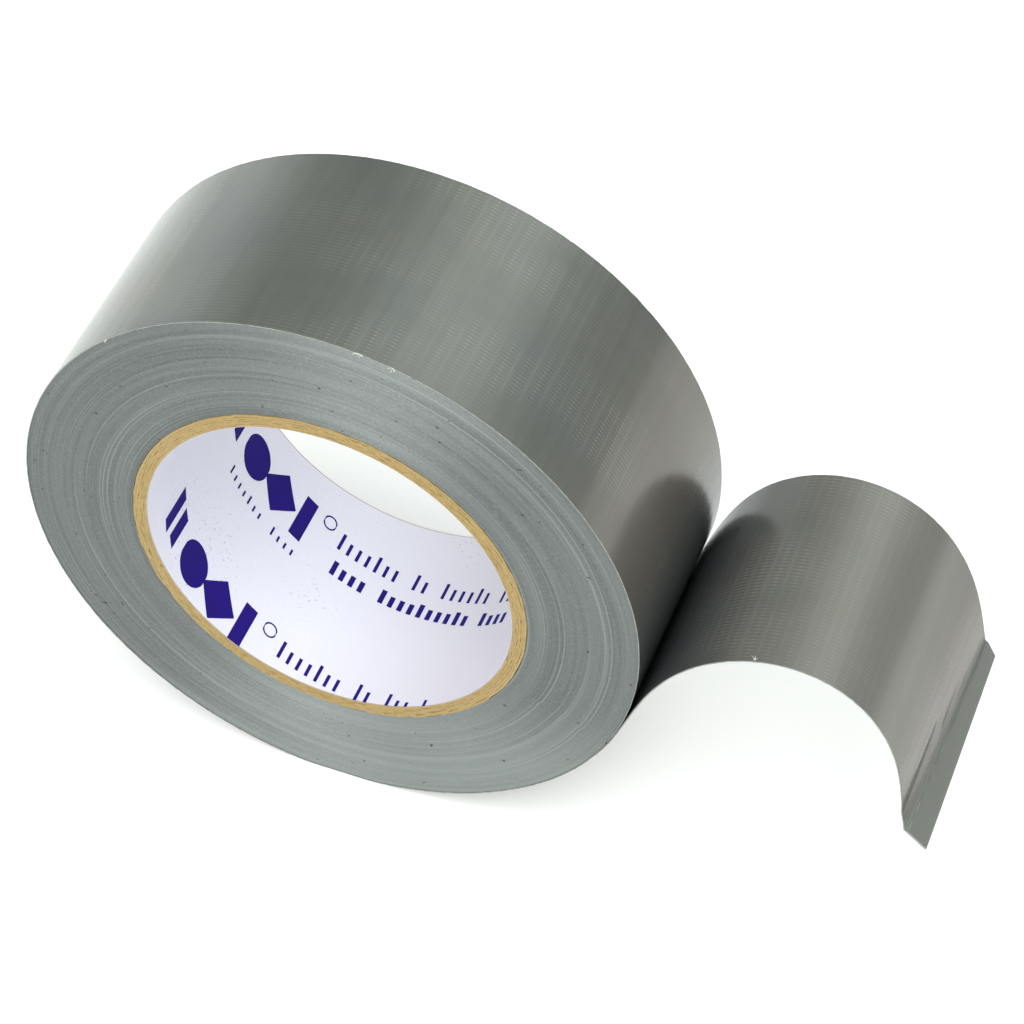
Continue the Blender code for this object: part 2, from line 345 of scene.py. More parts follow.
class Nodes:
    """Short calls for the nodes of a material or a world."""

    def __init__(self, owner, shader="Principled BSDF"):
        self.owner = owner
        owner.use_nodes = True
        self.tree = owner.node_tree
        self.shader = self.tree.nodes[shader]

    def put(self, kind, links=(), **settings):
        """A new node of this kind, with links or values by socket, and its own settings."""
        node = self.tree.nodes.new(kind)
        for key, value in settings.items():
            setattr(node, key, value)
        for socket, value in dict(links).items():
            self.feed(node.inputs[socket], value)
        return node

    def feed(self, socket, value):
        """Links a socket to another, or sets its plain value."""
        if isinstance(value, bpy.types.NodeSocket):
            self.tree.links.new(value, socket)
        else:
            socket.default_value = value

    def math(self, operation, a, b=0.0, c=0.0, clamp=False):
        node = self.put("ShaderNodeMath", {0: a, 1: b, 2: c}, operation=operation, use_clamp=clamp)
        return node.outputs[0]

    def tape(self):
        """The 'tape' attribute and its three values, in millimetres."""
        attribute = self.put("ShaderNodeAttribute", attribute_name="tape")
        parts = self.put("ShaderNodeSeparateXYZ", {0: attribute.outputs["Vector"]})
        return attribute.outputs["Vector"], parts.outputs[0], parts.outputs[1], parts.outputs[2]

    def place(self):
        """The place in metres, which is the same for every piece."""
        return self.put("ShaderNodeTexCoord").outputs["Object"]

    def scaled(self, vector, scale):
        node = self.put("ShaderNodeVectorMath", {0: vector, 1: scale}, operation="MULTIPLY")
        return node.outputs[0]

    def noise(self, vector, scale, detail=3.0, roughness=0.5):
        """Noise about 0.5, in features 1 / scale across."""
        links = {"Vector": vector, "Scale": scale, "Detail": detail, "Roughness": roughness}
        return self.put("ShaderNodeTexNoise", links).outputs["Fac"]

    def ramp(self, factor, stops):
        """A colour, or a plain number, at each stop along the factor."""
        node = self.put("ShaderNodeValToRGB", {0: factor})
        elements = node.color_ramp.elements
        while len(elements) < len(stops):
            elements.new(0.5)
        for element, (position, color) in zip(elements, stops):
            element.position = position
            element.color = (*color, 1) if hasattr(color, "__len__") else (color, color, color, 1)
        return node.outputs[0]

    def mix(self, factor, a, b):
        """Colour a, and b where the factor is 1. A Mix node's sockets 6, 7 and 2 are its colours."""
        return self.put("ShaderNodeMix", {0: factor, 6: a, 7: b}, data_type="RGBA").outputs[2]

    def bump(self, height, distance, strength, under=None):
        """A normal raised by this height, on top of the one under it."""
        node = self.put("ShaderNodeBump", {"Height": height, "Distance": distance, "Strength": strength})
        if under is not None:
            self.feed(node.inputs["Normal"], under)
        return node.outputs[0]

    def finish(self, color, roughness, normal, **plain):
        """Feeds the shader, sets its plain values by name and returns the material."""
        self.feed(self.shader.inputs["Base Color"], color)
        self.feed(self.shader.inputs["Roughness"], roughness)
        self.feed(self.shader.inputs["Normal"], normal)
        for socket, value in plain.items():
            self.feed(self.shader.inputs[socket.replace("_", " ")], value)
        return self.owner


# The cloth's pitch in millimetres, of yarns beside each other and of rows along the tape, and their sway.
WARP, WEFT = 0.85, 1.9
WARP_SWAY, WEFT_SWAY = 0.3, 0.45
CREST = 4.5  # how narrow the dots are along the tape

# A skin's tints, as shares of its base colour in red, green and blue, and its paler and darker marks. The
# brown and yellow tints are painted reflections and the blue one painted shade; the whitening comes from
# handling and partly painted light; the crease tones are painted shade and painted highlight.
COOL, WARM = (0.88, 0.93, 1.12), (1.14, 1.03, 0.95)
REFLECTED_BROWN, REFLECTED_YELLOW, SHADE_BLUE = (0.92, 0.76, 0.72), (0.98, 0.82, 0.72), (0.50, 0.53, 0.68)
WHITENED, RIB, DOT, CREASE_SHADE, CREASE_HIGHLIGHT = 2.02, 2.3, 2.9, 0.45, 2.0

# The tab's grey at its front and back ends, painted light: lighter at the front and darker at the back.
TAB_PAINTED_LIGHT = ((0.190, 0.200, 0.184), (0.120, 0.126, 0.117))

PALE_THREAD_AND_HIGHLIGHT = (0.40, 0.435, 0.42, 1)  # the pale threads, and the painted highlight low on the right of the roll's side face
KRAFT_BROWN = (0.290, 0.202, 0.070)


def cloth_pattern(nodes, tape, along, across):
    """The cloth under a skin: dots where the weft rides up, ribs of the warp, and where they show."""
    sway = nodes.noise(nodes.scaled(tape, (0.03, 0.12, 0)), 1.0, 2)
    row = nodes.math("DIVIDE", nodes.math("ADD", along, nodes.math("MULTIPLY", sway, WEFT_SWAY)), WEFT)
    yarn = nodes.math("ADD", across, nodes.math("MULTIPLY", sway, WARP_SWAY))
    yarn = nodes.math("MULTIPLY", yarn, 2 * math.pi / WARP)
    crest = nodes.math("ABSOLUTE", nodes.math("SUBTRACT", nodes.math("FRACT", row), 0.5))
    crest = nodes.math("SUBTRACT", 1.0, nodes.math("MULTIPLY", crest, CREST), clamp=True)
    odd = nodes.math("MULTIPLY", nodes.math("FLOOR", row), math.pi)
    dots = nodes.math("MAXIMUM", nodes.math("SINE", nodes.math("ADD", yarn, odd)), 0.0)
    ribs = nodes.math("MULTIPLY_ADD", nodes.math("SINE", yarn), 0.5, 0.5)
    shown = nodes.noise(nodes.scaled(tape, (0.035, 0.07, 0)), 1.0, 2)
    return nodes.math("MULTIPLY", crest, dots), ribs, shown


def tape_skin(name, base, ribbing, marked, metallic, whitened, specular):
    """A grey skin over cloth, with the marks of unwinding and handling, and painted light, shade and
    reflections.
    """
    nodes = Nodes(bpy.data.materials.new(name))
    tape, along, across, creased = nodes.tape()

    # By the share of the free end before this place, negative on the roll: whitened by handling, with painted
    # light along the arch's middle; smoothed by pressing on the tab, with painted light there that is lighter
    # at its front and darker at its back; painted shade in the cusp at the peel line; a painted yellow
    # reflection towards the tab.
    run = nodes.math("DIVIDE", along, LEADER_LENGTH / MM)
    stops = ((0.36, 0.0), (0.54, whitened), (0.75, whitened), (0.84, 0.1 * whitened), (0.89, 0.0))
    handled_and_lit = nodes.ramp(run, stops)
    on_tab = nodes.ramp(run, ((0.970, 0.0), (0.995, 1.0)))
    cusp_shade = nodes.ramp(nodes.math("ADD", run, 0.5), ((0.49, 0.0), (0.50, 0.75), (0.76, 0.75), (0.92, 0.0)))
    yellow_reflection = nodes.ramp(run, ((0.74, 0.0), (0.86, 0.9)))

    # By the share of the last turn before this place, 0 just above the peel line: bands with dots, a band of
    # painted brown reflection and a band of painted shade by the peel line.
    turned_by = nodes.math("MULTIPLY_ADD", along, MM / (2 * math.pi * ROLL_RADIUS), 1.0)
    stops = ((0.13, 0.0), (0.17, 1.0), (0.31, 1.0), (0.35, 0.2), (0.45, 0.2), (0.52, 1.0))
    dotted = nodes.ramp(turned_by, stops)
    brown_reflection = nodes.ramp(turned_by, ((0.080, 0.0), (0.105, 0.68), (0.150, 0.68), (0.190, 0.0)))
    peel_shade = nodes.ramp(turned_by, ((0.065, 0.6), (0.100, 0.0)))

    # The cloth shows in patches, and less towards the tab.
    dots, ribs, shown = cloth_pattern(nodes, tape, along, across)
    fading = nodes.ramp(run, ((0.60, 1.0), (0.72, 1 - 0.9 * whitened), (0.98, 1 - whitened), (0.995, 0.0)))
    patches = nodes.math("MAXIMUM", handled_and_lit, nodes.ramp(shown, ((0.40, 0.06), (0.60, 1.0))))
    dots = nodes.math("MULTIPLY", dots, patches)
    dots = nodes.math("MULTIPLY", dots, nodes.math("MULTIPLY", fading, dotted))
    ribs = nodes.math("MULTIPLY", ribs, nodes.ramp(shown, ((0.40, 0.15), (0.66, 1.0))))
    ribs = nodes.math("MULTIPLY", ribs, fading)

    def tint(shares):
        return (*(share * part for share, part in zip(shares, base)), 1)

    def shade(share):
        return tint((share, share, share))

    streaks = nodes.noise(nodes.scaled(tape, (0.30, 0.012, 0)), 1.0, 4, 0.6)
    clouds = nodes.noise(nodes.scaled(tape, (0.05, 0.05, 0)), 1.0, 3)
    color = nodes.ramp(streaks, ((0.30, shade(0.92)[:3]), (0.50, base), (0.72, shade(1.08)[:3])))
    color = nodes.mix(nodes.ramp(clouds, ((0.30, 0.35), (0.46, 0.0))), color, tint(COOL))
    color = nodes.mix(nodes.ramp(clouds, ((0.54, 0.0), (0.70, 0.35))), color, tint(WARM))
    # Painted reflection: a brown band on the rim beside the free end's dark reflection.
    color = nodes.mix(brown_reflection, color, tint(REFLECTED_BROWN))
    # Painted reflection: a warm yellow tone on the free end towards the tab.
    color = nodes.mix(yellow_reflection, color, tint(REFLECTED_YELLOW))
    # Whitened where handled, and painted light that lightens the arch's middle.
    color = nodes.mix(handled_and_lit, color, shade(WHITENED))
    color = nodes.mix(nodes.math("MULTIPLY", ribs, 0.42 * ribbing), color, shade(RIB))
    color = nodes.mix(nodes.math("MULTIPLY", dots, marked), color, shade(DOT))
    # Painted shade: darker and bluer on the rim beside the peel line.
    color = nodes.mix(peel_shade, color, tint(SHADE_BLUE))
    # Painted shade: darker and bluer in the cusp where the free end leaves the roll.
    color = nodes.mix(cusp_shade, color, tint(SHADE_BLUE))
    # Painted shade in the creases' valleys and painted highlight on their ridges.
    color = nodes.mix(nodes.math("MULTIPLY", creased, -4.5, clamp=True), color, shade(CREASE_SHADE))
    color = nodes.mix(nodes.math("MULTIPLY", creased, 4.0, clamp=True), color, shade(CREASE_HIGHLIGHT))
    # Painted light on the tab: lighter at its front and darker at its back.
    side = nodes.math("MULTIPLY_ADD", across, 0.02, 0.5)
    color = nodes.mix(on_tab, color, nodes.ramp(side, ((0.1, TAB_PAINTED_LIGHT[0]), (0.9, TAB_PAINTED_LIGHT[1]))))

    cloth = nodes.math("ADD", dots, nodes.math("MULTIPLY", ribs, 0.4 * ribbing))
    normal = nodes.bump(cloth, 0.024 * MM, 1.0)
    normal = nodes.bump(streaks, 0.03 * MM, 0.5, normal)
    scuffs = nodes.noise(nodes.scaled(tape, (0.9, 0.25, 0)), 1.0, 5, 0.7)
    rough = nodes.math("MULTIPLY_ADD", scuffs, 0.06, 0.18)
    rough = nodes.math("MULTIPLY_ADD", on_tab, 0.22, rough)
    return nodes.finish(color, rough, normal, Metallic=metallic, Specular_IOR_Level=specular)


def pack_side():
    """Slit tape edges: fine lines along the turns, pale threads along some, soft bands round the ring, and a
    painted highlight low on the right.
    """
    nodes = Nodes(bpy.data.materials.new("wound_edges"))
    _, radius, _, _ = nodes.tape()
    place = nodes.put("ShaderNodeSeparateXYZ", {0: nodes.place()})

    def rings(per_mm, per_metre, detail=2.0):
        links = {
            0: nodes.math("MULTIPLY", radius, per_mm),
            1: nodes.math("MULTIPLY", place.outputs[0], per_metre),
            2: nodes.math("MULTIPLY", place.outputs[2], per_metre),
        }
        return nodes.noise(nodes.put("ShaderNodeCombineXYZ", links).outputs[0], 1.0, detail)

    fine = rings(3.4, 24)
    bands = rings(0.42, 9)
    threads = rings(3.8, 9, 0.5)
    fibres = nodes.noise(nodes.place(), 2400, 3, 0.65)
    greys = ((0.32, (0.138, 0.152, 0.147)), (0.52, (0.162, 0.178, 0.172)), (0.74, (0.191, 0.210, 0.203)))
    color = nodes.ramp(fine, greys)
    color = nodes.mix(nodes.ramp(bands, ((0.40, 0.0), (0.64, 0.5))), color, (0.222, 0.243, 0.236, 1))
    color = nodes.mix(nodes.ramp(threads, ((0.62, 0.0), (0.70, 0.35))), color, PALE_THREAD_AND_HIGHLIGHT)
    color = nodes.mix(nodes.ramp(fibres, ((0.50, 0.0), (0.75, 0.5))), color, (0.30, 0.328, 0.318, 1))
    # Painted highlight: paler low down, growing towards the right of the side face.
    low = nodes.ramp(place.outputs[2], ((0.022, 1.0), (0.045, 0.0)))
    right = nodes.ramp(nodes.math("ADD", place.outputs[0], 0.015), ((0.0, 0.0), (0.042, 0.42)))
    color = nodes.mix(nodes.math("MULTIPLY", low, right), color, PALE_THREAD_AND_HIGHLIGHT)
    specks = nodes.noise(nodes.place(), 650, 1)
    color = nodes.mix(nodes.ramp(specks, ((0.76, 0.0), (0.80, 0.9))), color, (0.05, 0.055, 0.05, 1))
    normal = nodes.bump(fine, 0.06 * MM, 0.6)
    normal = nodes.bump(fibres, 0.08 * MM, 0.7, normal)
    grooves = nodes.put("ShaderNodeTangent", direction_type="RADIAL", axis="Y")
    nodes.feed(nodes.shader.inputs["Tangent"], grooves.outputs[0])
    return nodes.finish(color, 0.60, normal, Metallic=0.9, Anisotropic=0.80, Anisotropic_Rotation=0.25)


def kraft():
    """Raw brown board: short fibres, evened out in blotches, with darker flecks."""
    nodes = Nodes(bpy.data.materials.new("kraft_board"))
    fibres = nodes.noise(nodes.scaled(nodes.place(), (1.0, 0.45, 1.0)), 1400, 5, 0.65)
    blotches = nodes.noise(nodes.place(), 160, 3)
    browns = ((0.28, (0.235, 0.158, 0.052)), (0.50, KRAFT_BROWN), (0.74, (0.360, 0.264, 0.106)))
    color = nodes.ramp(fibres, browns)
    color = nodes.mix(nodes.math("MULTIPLY", blotches, 0.5), color, (*KRAFT_BROWN, 1))
    flecks = nodes.noise(nodes.place(), 700, 1)
    color = nodes.mix(nodes.ramp(flecks, ((0.70, 0.0), (0.78, 0.25))), color, (0.14, 0.085, 0.03, 1))
    normal = nodes.bump(fibres, 0.16 * MM, 1.0)
    return nodes.finish(color, 0.88, normal, Sheen_Weight=0.15)


def plain_fibre(name, base, shade, scale, roughness, bump, **plain):
    """A fibrous material with two tones: cloth, loose cotton or ink."""
    nodes = Nodes(bpy.data.materials.new(name))
    grain = nodes.noise(nodes.place(), scale, 4, 0.6)
    soft = nodes.noise(nodes.place(), scale / 25, 3)
    tone = nodes.math("MULTIPLY", nodes.math("ADD", grain, soft), 0.5)
    color = nodes.ramp(tone, ((0.35, shade), (0.62, base)))
    normal = nodes.bump(grain, bump * MM, 0.7)
    rough = nodes.math("ADD", roughness, nodes.math("MULTIPLY", soft, 0.1))
    return nodes.finish(color, rough, normal, **plain)


def liner_paper():
    """White paper, brown at its cut ends, with fine grey dust in patches, and painted shade that greys it
    towards the right.
    """
    nodes = Nodes(bpy.data.materials.new("liner_paper"))
    _, _, across, _ = nodes.tape()
    place = nodes.put("ShaderNodeSeparateXYZ", {0: nodes.place()})
    grain = nodes.noise(nodes.place(), 2600, 4, 0.6)
    color = nodes.ramp(grain, ((0.35, (0.675, 0.675, 0.755)), (0.62, (0.71, 0.71, 0.79))))
    # Painted shade: the paper greys towards the right of the bore.
    side = nodes.math("MULTIPLY_ADD", place.outputs[0], 0.5 / BORE_RADIUS, 0.5)
    color = nodes.mix(nodes.ramp(side, ((0.35, 0.0), (0.80, 1.0))), color, (0.61, 0.590, 0.640, 1))
    patches = nodes.ramp(nodes.noise(nodes.place(), 55, 2), ((0.50, 0.0), (0.62, 1.0)))
    dust = nodes.ramp(nodes.noise(nodes.place(), 1500, 1), ((0.66, 0.0), (0.72, 0.55)))
    color = nodes.mix(nodes.math("MULTIPLY", patches, dust), color, (0.30, 0.27, 0.32, 1))
    edge = nodes.math("MULTIPLY", nodes.math("ABSOLUTE", across), MM / HALF_WIDTH)
    color = nodes.mix(nodes.ramp(edge, ((0.990, 0.0), (0.996, 0.85))), color, (*KRAFT_BROWN, 1))
    rough = nodes.math("MULTIPLY_ADD", grain, 0.1, 0.5)
    return nodes.finish(color, rough, nodes.bump(grain, 0.01 * MM, 0.7))


# -------------------------------- the tape's strips


RIPPLE_SEED = 7  # the same for every lamina, so that they ripple together
PULL, LEAN = 0.006 * MM, 0.010 * MM  # the heights of straight streaks and of slower ones that lean
FRAY = 0.02 * MM
LEADER_STEP, LEADER_COLUMNS = 0.75 * MM, 49
FINE_STRETCH, FINE_ROWS = 15 * MM, 76  # beside the tab, where the creases are


def ripple(lengths, across):
    """How far the tape's face stands out here: pulled streaks across it, in metres."""
    pulled = wave(lengths, RIPPLE_SEED, 12, 2.5, 24)[:, None]
    leaning = wave(lengths, RIPPLE_SEED + 1, 6, 12, 60)[:, None]
    leaning = leaning * wave(across * HALF_WIDTH, RIPPLE_SEED + 2, 3, 40, 90)[None]
    return PULL * pulled + LEAN * leaning


def lamina(name, offsets, middles, lefts, lengths, ys, creased, look):
    """One lamina between two offsets to the left of the tape's middles, with its 'tape' values."""
    grids, coords = [], []
    for offset in offsets:
        x, z = np.moveaxis(middles + lefts * offset, -1, 0)
        grids.append(np.stack([x, ys, z], -1))
        coords.append(np.stack([np.broadcast_to(lengths[:, None], ys.shape), ys, creased], -1))
    return slab(name, grids, coords, look)


def strip_on(name, points, headings, lengths, offsets, look, width, seed):
    """One lamina along a stretch of the path, rippled and a little frayed at its two slit edges."""
    across = np.linspace(-1, 1, points.shape[1])
    ys = np.broadcast_to(across * width, points.shape[:2]).copy()
    ys[:, 0] += wave(lengths, seed, 14, 0.8, 9) * FRAY
    ys[:, -1] += wave(lengths, seed + 5, 14, 0.8, 9) * FRAY
    stand = ripple(lengths, across)[..., None]
    offsets = [offset - stand for offset in offsets]
    creased = wrinkles(lengths, across)
    return lamina(name, offsets, points, leftward(headings), lengths, ys, creased, look)


def last_turn(name, node, offsets, look, width, seed):
    """One lamina of the outermost turn, which climbs over its own start."""
    rows, columns = 560, 25
    angles = np.linspace(0.0, 2 * math.pi, rows)
    points, headings = (np.repeat(part[:, None], columns, 1) for part in rim_path(angles))
    lengths = (angles - 2 * math.pi) * ROLL_RADIUS
    piece = strip_on(name, points, headings, lengths, offsets, look, width, seed)
    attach(piece, "roll")
    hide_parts(node)
    return piece


# Creases aslant from the tab's fold, in millimetres: how far back from it and across the tape each starts and
# ends, its half width and its height.
WRINKLES = (
    (2.0, -25, 2.4, -2, 1.0, 0.05),
    (5.0, -26, 6.4, -4, 1.7, -0.13),
    (8.6, -15, 9.2, -5, 1.3, 0.09),
    (3.0, -1, 4.2, 8, 1.1, -0.08),
    (1.6, 8, 1.9, 14, 0.8, -0.05),
)


def wrinkles(lengths, across):
    """How far the creases beside the tab's fold stand out, in metres."""
    back = (LEADER_LENGTH - lengths)[:, None] / MM
    beside = across[None] * HALF_WIDTH / MM
    total = np.zeros((len(lengths), len(across)))
    for start_back, start_across, end_back, end_across, width, height in WRINKLES:
        run = math.hypot(end_back - start_back, end_across - start_across)
        along = ((end_back - start_back) / run, (end_across - start_across) / run)
        past = (back - start_back) * along[0] + (beside - start_across) * along[1]
        aside = (back - start_back) * along[1] - (beside - start_across) * along[0]
        taper = np.clip(past / run + 0.15, 0, 1) * np.clip(1.15 - past / run, 0, 1)
        total += height * MM * np.minimum(4 * taper, 1) * np.exp(-((aside / width) ** 2))
    return total * np.clip(back / 1.5, 0, 1)


def leader(start, end):
    """(lengths, places across, points, headings) of a stretch of the free end, finer beside the tab."""
    lengths = np.linspace(start, end, int((end - start) / LEADER_STEP))
    if end == LEADER_LENGTH:
        fine_from = end - FINE_STRETCH
        lengths = np.concatenate([lengths[lengths < fine_from], np.linspace(fine_from, end, FINE_ROWS)])
    across = np.linspace(-1, 1, LEADER_COLUMNS)
    points, headings = leader_path(lengths, across)
    points = points + leftward(headings) * wrinkles(lengths, across)[..., None]
    return lengths, across, points, headings


def leader_piece(name, node, offsets, look, width, seed, start, end, bodies, bend):
    """One lamina of a stretch of the free end."""
    lengths, _, points, headings = leader(start, end)
    piece = strip_on(name, points, headings, lengths, offsets, look, width, seed)
    middle_at(bend[0])
    middle_at(bend[1])
    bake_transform(piece)
    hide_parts(node)
    return piece


def middle_at(length):
    """The point of the free end's middle line this far past the peel line."""
    points, _ = leader_path(np.array([min(length, LEADER_LENGTH)]), np.array([0.0]))
    x, z = points[0, 0]
    over = max(length - LEADER_LENGTH, 0)
    heading = sum(TAB_HEADING) / 2
    return (x + over * math.cos(heading), 0, z + over * math.sin(heading))


def tab_rows(offsets, lengths, points, headings, across, seed):
    """Rows of (middles, lefts, length so far) from the arch, by the crease, round the tab's hairpin."""
    fold, heading, length = tab_path(across)
    along, left = onward(heading), leftward(heading)
    before = headings[-1]
    after = before + np.mod(heading - before + math.pi, 2 * math.pi) - math.pi
    reach_back = CREASE_RADIUS * np.tan((after - before) / 2)
    centre = points[-1] + CREASE_RADIUS * leftward(before) - onward(before) * reach_back[:, None]
    rows = []
    for middles, turn, run in zip(points, headings, lengths[:-1]):
        if run < LEADER_LENGTH - 2 * CREASE_RADIUS:
            rows.append((middles, leftward(turn), run))
    for share in np.linspace(0, 1, 7):
        spoke = leftward(before + share * (after - before))
        rows.append((centre - spoke * CREASE_RADIUS, spoke, LEADER_LENGTH + (share - 0.5) * CREASE_RADIUS))
    half = TAPE_THICKNESS / 2
    reach = (length - TAPE_THICKNESS)[:, None]
    end = LEADER_LENGTH + TAB_LENGTH[0]
    for share in np.linspace(0.1, 1, 7):
        rows.append((fold + along * reach * share - left * half, left, LEADER_LENGTH + share * TAB_LENGTH[0]))
    if offsets == ADHESIVE:
        return rows
    for turn in np.linspace(0, math.pi, 11)[1:]:
        spoke = along * math.sin(turn) - left * math.cos(turn)
        rows.append((fold + along * reach + spoke * half, -spoke, end + turn * half))
    stop = SCRIM_STOP if offsets == SCRIM else FILM_STOP
    ragged = (stop + FRAY * wave(across * HALF_WIDTH, seed, 8, 4, 20))[:, None]
    for share in np.linspace(1, 0, 7)[1:]:
        back = ragged + (reach - ragged) * share
        rows.append((fold + along * back + left * half, -left, end + (1 - share) * TAB_LENGTH[0]))
    return rows


def tab_piece(name, node, offsets, look, width, seed):
    """The last of the free end with the tab, where film and scrim turn back over the doubled adhesive."""
    lengths, across, points, headings = leader(DROP_SPLIT, LEADER_LENGTH)
    rows = tab_rows(offsets, lengths, points, headings, across, seed)
    middles, lefts, run = (np.array(part) for part in zip(*rows))
    ys = np.broadcast_to(across * width, middles.shape[:2])
    past = np.clip((run - LEADER_LENGTH) / (0.8 * MM), 0, 1)[:, None, None]
    stand = ripple(run, across)[..., None] * (1 - 0.8 * past)
    doubled = ADHESIVE_DOUBLED * past if offsets == ADHESIVE else 0
    offsets = (offsets[0] - stand, offsets[1] - stand + doubled)
    piece = lamina(name, offsets, middles, lefts, run, ys, wrinkles(run, across), look)
    start, end = (middle_at(LEADER_LENGTH + further) for further in TAB_BEND)
    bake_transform(piece)
    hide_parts(node)
    return piece


def build_tape():
    """The last turn and the three stretches of the free end, each in three laminae."""
    film = tape_skin("tape_film", (0.141, 0.150, 0.137), 0.35, 0.21, 0.45, 0.0, 0.5)
    adhesive = tape_skin("tape_adhesive", (0.097, 0.097, 0.088), 1.0, 0.42, 0.25, 0.7, 0.3)
    scrim = plain_fibre("tape_scrim", (0.42, 0.45, 0.42), (0.28, 0.30, 0.28), 5200, 0.8, 0.03)
    layers = (
        ("film", FILM, film, HALF_WIDTH, 11),
        ("scrim", SCRIM, scrim, HALF_WIDTH + 0.02 * MM, 21),
        ("adhesive", ADHESIVE, adhesive, HALF_WIDTH - 0.05 * MM, 31),
    )
    rise = (0.0, RISE_SPLIT, ("roll", "leader_rise"), (0.0, RISE_SPLIT * PEEL_BEND_SHARE))
    crown = (RISE_SPLIT, DROP_SPLIT, ("leader_rise", "leader_drop"), CROWN_BEND)
    for layer, *made in layers:
        last_turn(f"{layer}_last_turn", f"last_turn_{layer}", *made)
        leader_piece(f"{layer}_rise", f"leader_rise_{layer}", *made, *rise)
        leader_piece(f"{layer}_crown", f"leader_drop_{layer}", *made, *crown)
        tab_piece(f"{layer}_tab", f"tab_{layer}", *made)


# -------------------------------- loose threads


THREAD_RADIUS, THREAD_ROOT = 0.032 * MM, 0.05 * MM  # the root is how deep a thread starts


def tube(points, radius):
    """(vertices, faces) of a thin closed tube along these points."""
    sides = 5
    points = np.asarray(points)
    tangents = np.gradient(points, axis=0)
    tangents /= np.linalg.norm(tangents, axis=1)[:, None]
    side = np.cross(tangents, (0.3, 0.5, 0.8))
    side /= np.linalg.norm(side, axis=1)[:, None]
    other = np.cross(tangents, side)
    turns = np.linspace(0, 2 * math.pi, sides, endpoint=False)
    rings = points[:, None] + radius * (
        np.cos(turns)[None, :, None] * side[:, None] + np.sin(turns)[None, :, None] * other[:, None]
    )
    faces = [tuple(range(sides))[::-1], tuple(range((len(points) - 1) * sides, len(points) * sides))]
    for row in range(len(points) - 1):
        for i in range(sides):
            j = (i + 1) % sides
            a = row * sides
            faces.append((a + i, a + j, a + sides + j, a + sides + i))
    return rings.reshape(-1, 3), faces


def tuft(name, root, out, along, count, length, look, seed):
    """A few cotton threads pulled out of the cloth at a cut edge, as one piece."""
    random = np.random.default_rng(seed)
    root, out, along = (np.array(v, float) for v in (root, out, along))
    up = np.cross(out, along)
    vertices, faces = [], []
    for _ in range(count):
        start = root + along * random.uniform(-0.35, 0.35) * length
        lean = out + along * random.uniform(-1.1, 1.1) + up * random.uniform(-0.5, 0.9)
        curl = along * random.uniform(-1, 1) + up * random.uniform(-0.8, 0.8)
        reach = length * random.uniform(0.45, 1.0)
        steps = np.linspace(0, 1, 9)[:, None]
        points = start - out * THREAD_ROOT + reach * (lean * steps + curl * steps**2 * 0.7)
        ring, quads = tube(points, THREAD_RADIUS)
        faces += [tuple(i + len(vertices) for i in quad) for quad in quads]
        vertices += ring.tolist()
    return outward(link_mesh(name, vertices, faces, vertices, look, 180))


# Tufts at the roll's front edge: degrees round it, how many threads, and their length in millimetres.
RIM_TUFTS = ((82, 10, 1.0), (76, 6, 0.8), (-30, 9, 1.1), (-37, 5, 0.7), (131, 5, 0.6))
RIM_TUFT_SUNK = 0.1 * MM
LEADER_TUFT = (48 * MM, 7, 0.85 * MM)  # how far along, how many threads, and their length
LEADER_TUFT_INSET, LEADER_TUFT_LIFT = 0.3 * MM, 0.25 * MM  # from the edge, and off the tape's middle


def build_threads():
    """Threads pulled out at the front edges of the roll and of the free end."""
    cotton = plain_fibre("loose_cotton", (0.72, 0.74, 0.72), (0.55, 0.58, 0.56), 5200, 0.8, 0.01)
    for i, (degrees, count, length) in enumerate(RIM_TUFTS):
        angle = math.radians(degrees)
        radius = ROLL_RADIUS - RIM_TUFT_SUNK
        root = (radius * math.cos(angle), -HALF_WIDTH, AXIS_HEIGHT + radius * math.sin(angle))
        out = Vector((0.5 * math.cos(angle), -1, 0.5 * math.sin(angle))).normalized()
        along = (-math.sin(angle), 0, math.cos(angle))
        piece = tuft(f"rim_threads_{i + 1}", root, out, along, count, length * MM, cotton, 70 + i)
        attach(piece, "roll")
    place, count, length = LEADER_TUFT
    points, headings = leader_path(np.array([place]), np.array([-1.0]))
    (x, z), heading = points[0, 0], headings[0, 0]
    left = Vector((-math.sin(heading), 0, math.cos(heading)))
    along = (math.cos(heading), 0, math.sin(heading))
    root = Vector((x, LEADER_TUFT_INSET - HALF_WIDTH, z)) + LEADER_TUFT_LIFT * left
    out = (0.45 * left + Vector((0, 0.9, 0))).normalized()
    piece = tuft("leader_threads", root, out, along, count, length, cotton, 90)
    start, end = (middle_at(place) for place in CROWN_BEND)
    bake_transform(piece)


# -------------------------------- the pack and the core


def ring_points(radii, ys, angles):
    """Points (x, y, z) from grids of radii, ys and angles round the roll's axis."""
    return np.stack([radii * np.cos(angles), ys, AXIS_HEIGHT + radii * np.sin(angles)], -1)


def section(radii, ends, outer, inner, wall_ys):
    """Grids (radius, y) round a ring's section: its front end, outer wall, back end and inner wall."""
    walls = np.broadcast_to(wall_ys, (len(radii), len(wall_ys)))
    wall = np.ones(walls.shape)
    r = np.concatenate([radii, wall * outer, radii[:, ::-1], wall * inner], 1)
    y = np.concatenate([-ends[0], -walls, ends[1][:, ::-1], walls], 1)
    return r, y


